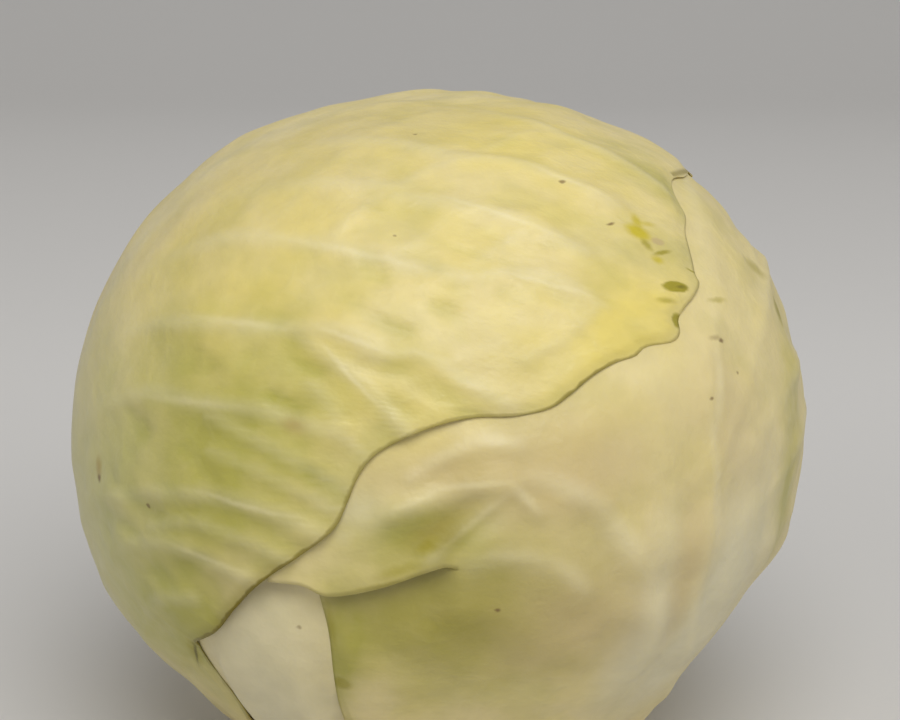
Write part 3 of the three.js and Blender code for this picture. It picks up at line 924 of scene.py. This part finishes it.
def leaf_sheet(leaf):
    """A flat slab of cells: x from -1 at the left margin to 1, y from the base up, z outward."""
    left, right, rows = leaf.cells
    sheet = bmesh.new()
    bmesh.ops.create_grid(sheet, x_segments=left + right, y_segments=rows, size=1.0)
    if "torn_edge" in leaf.drawn:
        row = 2.0 * tear_row(leaf)[1] / rows - 1.0
        tear_end = 2.0 * (1.0 - TEAR_LIP[-1][0] / TEAR_LIP[0][0]) * left / (left + right) - 1.0

        def at_tear(vertex):
            return abs(vertex.co.y - row) < 0.1 * SEAM_PART and vertex.co.x < tear_end

        on_row = [vertex for vertex in sheet.verts if at_tear(vertex)]
        torn = [edge for edge in sheet.edges if edge.verts[0] in on_row and edge.verts[1] in on_row]
        bmesh.ops.split_edges(sheet, edges=torn)
        for vertex in filter(at_tear, sheet.verts):
            heights = [face.calc_center_median().y for face in vertex.link_faces]
            vertex.co.y += math.copysign(SEAM_PART, sum(heights) / len(heights) - row)
    raised = bmesh.ops.extrude_face_region(sheet, geom=sheet.faces[:], use_keep_orig=True)["geom"]
    outer = [item for item in raised if isinstance(item, bmesh.types.BMVert)]
    bmesh.ops.translate(sheet, verts=outer, vec=(0.0, 0.0, 1.0))
    bmesh.ops.recalc_face_normals(sheet, faces=sheet.faces[:])
    return sheet


def blade_points(leaf, u, v):
    """Where u across and v up the blade lie in the leaf plane."""
    edge = np.where((u < 0)[:, None], along(leaf.left, v), along(leaf.right, v))
    spread = np.abs(u)
    midrib = leaf.base + (leaf.tip[1] - leaf.base) * v
    bow = CROWN_BOW * 4.0 * spread * (1.0 - spread) * v**3
    return np.stack((edge[:, 0] * spread, midrib + (edge[:, 1] - midrib) * spread + bow), axis=1)


def sheet_layout(leaf, flat):
    """Leaf-plane points of a slab's vertices, and how far out the tear lifts them."""
    left, right, rows = leaf.cells
    middle = 2.0 * left / (left + right) - 1.0
    u = np.interp(flat[:, 0], (-1.0, middle, 1.0), (-1.0, 0.0, 1.0))
    v = (flat[:, 1] + 1.0) / 2.0
    if "torn_edge" not in leaf.drawn:
        return blade_points(leaf, u, v), np.zeros(len(flat))
    start, row = tear_row(leaf)
    seam_v = row / rows
    above = v > seam_v
    v = np.interp(v, (0.0, seam_v - SEAM_REACH, seam_v + SEAM_REACH, 1.0), (0.0, start, start, 1.0))
    points = blade_points(leaf, u, v)
    seam = blade_points(leaf, u, np.full(len(u), start))
    off_seam = points[:, 1] - seam[:, 1]
    near = bell(off_seam, TEAR_REACH)
    # The row of cells at the seam is bent to follow the lip, more and more toward the margin.
    bend = -above_lip(seam) * near * smoothstep(-20.0, -48.0, points[:, 0])
    points[:, 1] += bend
    raised = LIP_LIFT * opened(points) * near
    below = np.where(above, 0.0, 1.0)
    drawn_in = smoothstep(-50.0, -77.0, points[:, 0]) * smoothstep(-48.0, -14.0, points[:, 1])
    tucked = smoothstep(-53.0, -62.0, points[:, 0]) * bell(off_seam, 7.0)
    points[:, 0] += LOBE_SHIFT * below * drawn_in
    points[:, 1] += LOBE_TUCK * below * tucked
    return points, np.where(above, raised, -lobe_sink(points))


def leaf_relief(leaf, points, margin, soft, directions):
    """Height of what stands up from the smooth blade, where crests are, and where hollows are."""
    drawn = leaf.drawn
    ridges, crest = ridge_relief(points, drawn["veins"])
    # The veins are low beside the midrib, and full height a third of the way across.
    grown = 0.35 + 0.65 * smoothstep(5.0, 26.0, np.abs(points[:, 0]))
    ridges, crest = ridges * grown, crest * grown
    swell, dent = np.zeros(len(points)), np.zeros(len(points))
    for step, length in enumerate(SWELL_LENGTHS):
        swell += SWELL_HEIGHT * waves(directions, length, leaf.seed + step)
    swell = swell * (1.0 - patches(points, drawn.get("calm", ())))
    puckers = np.minimum(patches(points, drawn.get("puckers", ((0, 0, 60, 60, 0.3),))), 1.0)
    for depth, length, step, heading, stretch in DENTS:
        dent += depth * dents(points, length, leaf.seed + step, heading, stretch)
    # The midrib is broader, and stands up more, toward the base.
    low_down = smoothstep(60.0, -90.0, points[:, 1])
    midrib = bell(points[:, 0], 3.0 + 3.5 * low_down) * (0.2 + 2.2 * low_down**2)
    hollow = puckers * dent
    relief = RIDGE_GAIN * ridges + swell - hollow + midrib
    if drawn.get("bare_rib"):
        # A bare rib is a smooth, broad band that stands up low down.
        flank = smoothstep(10.5, 7.0, np.abs(points[:, 0]))
        relief = relief * (1.0 - flank) + 3.0 * flank * smoothstep(-14.0, -34.0, points[:, 1])
    curl = MARGIN_CURL * (1.0 - soft) * (0.6 + 0.4 * waves(points, 9.0, leaf.seed + 3))
    relief = relief * (1.0 - 0.8 * soft * bell(margin, 5.0))
    relief = np.where(relief < 0.0, DEEPEST * np.tanh(relief / DEEPEST), relief)
    return relief + curl * bell(margin, 2.2), crest, hollow


def clear_of_stalk(place):
    """Keeps leaf bases outside the stalk, sunk into it by a little."""
    limit = np.interp(place[:, 2], STALK_HEIGHTS, STALK_RADII) - STALK_GRIP
    reach = np.hypot(place[:, 0], place[:, 1])
    grow = np.where(reach < limit, limit / np.maximum(reach, 1e-6), 1.0)
    place[:, :2] *= grow[:, None]


def vertex_places(mesh):
    """Where a mesh's vertices are."""
    places = np.empty(len(mesh.vertices) * 3, np.float32)
    mesh.vertices.foreach_get("co", places)
    return places.reshape(-1, 3).astype(float)


def move_vertices(mesh, places):
    """Moves a mesh's vertices to places given in millimetres."""
    mesh.vertices.foreach_set("co", (places * MM).astype(np.float32).ravel())


def put_attribute(mesh, name, values):
    """One number for each vertex, from 0 to 10, for the material to read."""
    attribute = mesh.attributes.new(name, "FLOAT", "POINT")
    attribute.data.foreach_set("value", np.clip(values, 0.0, 10.0).astype(np.float32))


def put_leaf_plane(mesh, points):
    """The leaf plane as a UV map."""
    corners = np.empty(len(mesh.loops), np.int32)
    mesh.loops.foreach_get("vertex_index", corners)
    layer = mesh.uv_layers.new(name=UV_NAME)
    layer.data.foreach_set("uv", (points[corners] / UV_SPAN).astype(np.float32).ravel())


def cut_flat(mesh):
    """Cuts a mesh off level with the ground, and closes it with faces of the second material."""
    solid = bmesh.new()
    solid.from_mesh(mesh)
    if min(v.co.z for v in solid.verts) < 0.0:
        everything = solid.verts[:] + solid.edges[:] + solid.faces[:]
        bmesh.ops.bisect_plane(
            solid, geom=everything, dist=1e-7, plane_co=(0, 0, 0), plane_no=(0, 0, 1), clear_inner=True
        )
        rim = [edge for edge in solid.edges if edge.is_boundary]
        for edge in rim:
            edge.smooth = False
        for cap in bmesh.ops.holes_fill(solid, edges=rim, sides=0)["faces"]:
            cap.material_index = 1
            cap.smooth = False
        drop_scraps(solid)
    solid.to_mesh(mesh)
    solid.free()


def drop_scraps(solid):
    """Removes the bits a cut has left loose, and keeps the largest part."""
    left, parts = set(solid.verts), []
    while left:
        part, ends = set(), [left.pop()]
        while ends:
            vert = ends.pop()
            part.add(vert)
            near = {edge.other_vert(vert) for edge in vert.link_edges} & left
            left -= near
            ends.extend(near)
        parts.append(part)
    for scrap in sorted(parts, key=len)[:-1]:
        bmesh.ops.delete(solid, geom=list(scrap), context="VERTS")


def mesh_from(solid, name):
    """Turns a bmesh into a mesh, and frees it."""
    mesh = bpy.data.meshes.new(name)
    solid.to_mesh(mesh)
    solid.free()
    return mesh


def add_object(name, data):
    """A new object in the scene."""
    item = bpy.data.objects.new(name, data)
    bpy.context.scene.collection.objects.link(item)
    return item


def add_piece(name, mesh, node):
    """Adds a finished piece of the cabbage, in place of its CAD node."""
    piece = add_object(name, mesh)
    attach(piece, BODY)
    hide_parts(node)


def build_leaf(settings, name):
    """Bends one leaf round the head under the leaves that lie over it."""
    index = [leaf.name for leaf in LEAVES].index(name)
    leaf, over = LEAVES[index], LEAVES[index + 1:]
    blade = settings.blade / MM
    mesh = mesh_from(leaf_sheet(leaf), name + "_skin")
    flat = vertex_places(mesh)
    points, lift = sheet_layout(leaf, flat)
    directions = leaf.directions(points)
    margin = np.maximum(leaf.inside_by(points), 0.0)
    top, covered = under(over, directions, blade)
    soft = np.minimum(patches(points, leaf.drawn.get("soft_edge", ())), 1.0)
    relief, crest, hollow = leaf_relief(leaf, points, margin, soft, directions)
    relief = settings.relief * (1.0 - covered) * relief
    lift = (1.0 - covered) * lift
    # The blade thins out at its margin, and a soft margin settles on the leaf underneath.
    at_edge = smoothstep(3.0, 0.0, margin)
    thin = (0.4 + 0.5 * soft) * at_edge * leaf.thickness(points, blade)
    top = top + lift - soft * (thin + EDGE_SETTLE * at_edge)
    outer = top + relief
    inner = top + RELIEF_INSIDE * relief + thin - leaf.thickness(points, blade)
    place = directions * np.where(flat[:, 2] > 0.5, outer, inner)[:, None]
    place[:, 2] += settings.centre_height / MM
    clear_of_stalk(place)
    move_vertices(mesh, place)
    white = np.minimum(patches(points, leaf.drawn["white"]), 1.0)
    # The hollows turn greener and darker: partly the blade's colour, partly painted shade.
    green = patches(points, leaf.drawn["green"]) + HOLLOW_GREEN_AND_SHADE * hollow
    put_attribute(mesh, "green", np.minimum(green, 1.0))
    put_attribute(mesh, "yellow", np.minimum(patches(points, leaf.drawn["yellow"]), 1.0))
    put_attribute(mesh, "white", white)
    put_attribute(mesh, "net", 1.0 - RIB_BARE * white)
    put_attribute(mesh, "vein", crest)
    put_attribute(mesh, "stain", stain_share(points, leaf.drawn.get("stains", ())))
    # The dried rim, which also paints the shade along the margin's edge.
    dried = RIM_DRIED_AND_SHADE * (1.0 - soft) + patches(points, leaf.drawn.get("dried", ()))
    put_attribute(mesh, "rim", np.minimum(dried, 1.0))
    # Where the painted shade under the lip falls.
    put_attribute(mesh, "fold", fold_shade_share(points, lift))
    put_attribute(mesh, "margin", margin)
    put_leaf_plane(mesh, points)
    mesh.shade_smooth()
    mesh.materials.append(leaf_material(settings, leaf))
    mesh.materials.append(cut_material())
    cut_flat(mesh)
    add_piece(name + "_skin", mesh, name)


# ------------------------------------------------------------------ operators


class CABBAGE_OT_stalk(bpy.types.Operator):
    """Turn the trimmed stalk"""

    bl_idname = "cabbage.stalk"
    bl_label = "Stalk"

    def execute(self, context):
        solid = bmesh.new()
        heights = np.linspace(0.0, STALK_HEIGHTS[-1], STALK_RINGS)
        radii = np.interp(heights, STALK_HEIGHTS, STALK_RADII)
        corners = [(0.0, 0.0, 0.0)] + [(r * MM, 0.0, h * MM) for r, h in zip(radii, heights)]
        verts = [solid.verts.new(corner) for corner in corners]
        edges = [solid.edges.new(pair) for pair in zip(verts[:-1], verts[1:])]
        bmesh.ops.spin(
            solid,
            geom=verts + edges,
            cent=(0, 0, 0),
            axis=(0, 0, 1),
            angle=2 * math.pi,
            steps=STALK_SIDES,
            use_merge=True,
        )
        bmesh.ops.remove_doubles(solid, verts=solid.verts[:], dist=1e-6)
        bmesh.ops.recalc_face_normals(solid, faces=solid.faces[:])
        mesh = mesh_from(solid, "stalk_flesh")
        mesh.materials.append(plain_material("stalk flesh", rgb(218, 212, 184), 0.6))
        add_piece("stalk_flesh", mesh, "stalk")
        return {"FINISHED"}


class CABBAGE_OT_heart(bpy.types.Operator):
    """Fill the head with its packed inner leaves"""

    bl_idname = "cabbage.heart"
    bl_label = "Heart"

    def execute(self, context):
        settings = context.scene.cabbage
        solid = bmesh.new()
        bmesh.ops.create_icosphere(solid, subdivisions=6, radius=1.0)
        mesh = mesh_from(solid, "packed_heart")
        directions = vertex_places(mesh)
        directions /= np.linalg.norm(directions, axis=1)[:, None]
        radius, _ = under(LEAVES, directions, settings.blade / MM)
        radius -= HEART_GAP + HEART_SWELL * waves(directions, 0.5, HEART_SEED)
        place = directions * radius[:, None]
        place[:, 2] = np.maximum(place[:, 2] + settings.centre_height / MM, HEART_BASE)
        move_vertices(mesh, place)
        mesh.shade_smooth()
        mesh.materials.append(plain_material("packed leaves", rgb(226, 222, 170), 0.5))
        add_piece("packed_heart", mesh, "heart")
        return {"FINISHED"}


class CABBAGE_OT_inner_leaves(bpy.types.Operator):
    """Lay the two innermost wrapper leaves, left and right"""

    bl_idname = "cabbage.inner_leaves"
    bl_label = "Inner Leaves"

    def execute(self, context):
        build_leaf(context.scene.cabbage, "leaf_left_inner")
        build_leaf(context.scene.cabbage, "leaf_right_inner")
        return {"FINISHED"}


class CABBAGE_OT_front_leaf(bpy.types.Operator):
    """Lay the front leaf, whose bare rib shows low down"""

    bl_idname = "cabbage.front_leaf"
    bl_label = "Front Leaf"

    def execute(self, context):
        build_leaf(context.scene.cabbage, "leaf_front")
        return {"FINISHED"}


class CABBAGE_OT_back_leaf(bpy.types.Operator):
    """Lay the back leaf"""

    bl_idname = "cabbage.back_leaf"
    bl_label = "Back Leaf"

    def execute(self, context):
        build_leaf(context.scene.cabbage, "leaf_back")
        return {"FINISHED"}


class CABBAGE_OT_right_outer_leaf(bpy.types.Operator):
    """Lay the cream leaf on the right, torn in from its left margin"""

    bl_idname = "cabbage.right_outer_leaf"
    bl_label = "Right Outer Leaf"

    def execute(self, context):
        build_leaf(context.scene.cabbage, "leaf_right_outer")
        return {"FINISHED"}


class CABBAGE_OT_left_outer_leaf(bpy.types.Operator):
    """Lay the big yellow-green leaf that laps over the crown"""

    bl_idname = "cabbage.left_outer_leaf"
    bl_label = "Left Outer Leaf"

    def execute(self, context):
        build_leaf(context.scene.cabbage, "leaf_left_outer")
        return {"FINISHED"}


class CABBAGE_OT_stage(bpy.types.Operator):
    """Set the floor and backdrop, the light and the camera"""

    bl_idname = "cabbage.stage"
    bl_label = "Stage"

    def execute(self, context):
        settings = context.scene.cabbage_stage
        self.add_floor(settings)
        self.add_key_lamp(settings)
        self.add_sky(context, settings)
        self.add_camera(context)
        context.scene.view_settings.view_transform = "Standard"
        return {"FINISHED"}

    def add_floor(self, settings):
        """A floor that sweeps up into the backdrop."""
        half_width, front, back, bend, top = 2.5, -1.6, 1.1, 0.6, 2.6
        turn = [math.radians(a) for a in range(0, 91, 6)]
        path = [(front, 0.0), (-0.4, 0.0)]
        path += [(back + bend * math.sin(a), bend * (1.0 - math.cos(a))) for a in turn]
        path.append((back + bend, top))
        solid = bmesh.new()
        verts = [solid.verts.new((-half_width, y, z)) for y, z in path]
        edges = [solid.edges.new(pair) for pair in zip(verts[:-1], verts[1:])]
        swept = bmesh.ops.extrude_edge_only(solid, edges=edges)["geom"]
        moved = [item for item in swept if isinstance(item, bmesh.types.BMVert)]
        bmesh.ops.translate(solid, verts=moved, vec=(2 * half_width, 0.0, 0.0))
        mesh = mesh_from(solid, "floor_and_backdrop")
        mesh.shade_smooth()
        mesh.materials.append(floor_material(settings.floor))
        add_object("floor_and_backdrop", mesh)

    def add_key_lamp(self, settings):
        """A round soft lamp over the cabbage that faces the foot of it."""
        light = bpy.data.lights.new("key_lamp", "AREA")
        light.shape = "DISK"
        light.size = 1.0
        light.energy = settings.key
        lamp = add_object("key_lamp", light)
        lamp.location = (0.14, -0.82, 1.17)
        lamp.rotation_euler = (-lamp.location).to_track_quat("-Z", "Y").to_euler()

    def add_sky(self, context, settings):
        """Even white light from all round."""
        world = bpy.data.worlds.new("even light")
        context.scene.world = world
        world.use_nodes = True
        background = world.node_tree.nodes["Background"].inputs
        background["Color"].default_value = (1.0, 1.0, 1.0, 1.0)
        background["Strength"].default_value = settings.sky

    def add_camera(self, context):
        """A camera in front of the cabbage that looks down on it a little."""
        tilt, distance, aside, height = math.radians(16.0), 0.6, 0.003, 0.11215
        data = bpy.data.cameras.new("camera")
        data.lens = 88.4
        data.sensor_width = 36.0
        data.clip_end = 20.0
        camera = add_object("camera", data)
        camera.location = (aside, -distance * math.cos(tilt), height + distance * math.sin(tilt))
        camera.rotation_euler = (math.radians(90.0) - tilt, 0.0, 0.0)
        context.scene.camera = camera


class CABBAGE_PT_panel(bpy.types.Panel):
    """Lists the pieces and their settings"""

    bl_idname = "CABBAGE_PT_panel"
    bl_label = "White Cabbage"
    bl_space_type = "VIEW_3D"
    bl_region_type = "UI"
    bl_category = "Cabbage"

    def draw(self, context):
        for group in (context.scene.cabbage, context.scene.cabbage_stage):
            for name in group.__annotations__:
                self.layout.prop(group, name)
        for operator in OPERATORS:
            self.layout.operator(operator.bl_idname)


OPERATORS = (
    CABBAGE_OT_stalk,
    CABBAGE_OT_heart,
    CABBAGE_OT_inner_leaves,
    CABBAGE_OT_front_leaf,
    CABBAGE_OT_back_leaf,
    CABBAGE_OT_right_outer_leaf,
    CABBAGE_OT_left_outer_leaf,
    CABBAGE_OT_stage,
)
CLASSES = (CabbageSettings, StageSettings, CABBAGE_PT_panel) + OPERATORS


def register():
    for item in CLASSES:
        bpy.utils.register_class(item)
    bpy.types.Scene.cabbage = bpy.props.PointerProperty(type=CabbageSettings)
    bpy.types.Scene.cabbage_stage = bpy.props.PointerProperty(type=StageSettings)


def unregister():
    del bpy.types.Scene.cabbage_stage
    del bpy.types.Scene.cabbage
    for item in reversed(CLASSES):
        bpy.utils.unregister_class(item)


def main():
    register()
    bpy.ops.cabbage.stalk()
    bpy.ops.cabbage.heart()
    bpy.ops.cabbage.inner_leaves()
    bpy.ops.cabbage.front_leaf()
    bpy.ops.cabbage.back_leaf()
    bpy.ops.cabbage.right_outer_leaf()
    bpy.ops.cabbage.left_outer_leaf()
    bpy.ops.cabbage.stage()


if __name__ == "__main__":
    main()
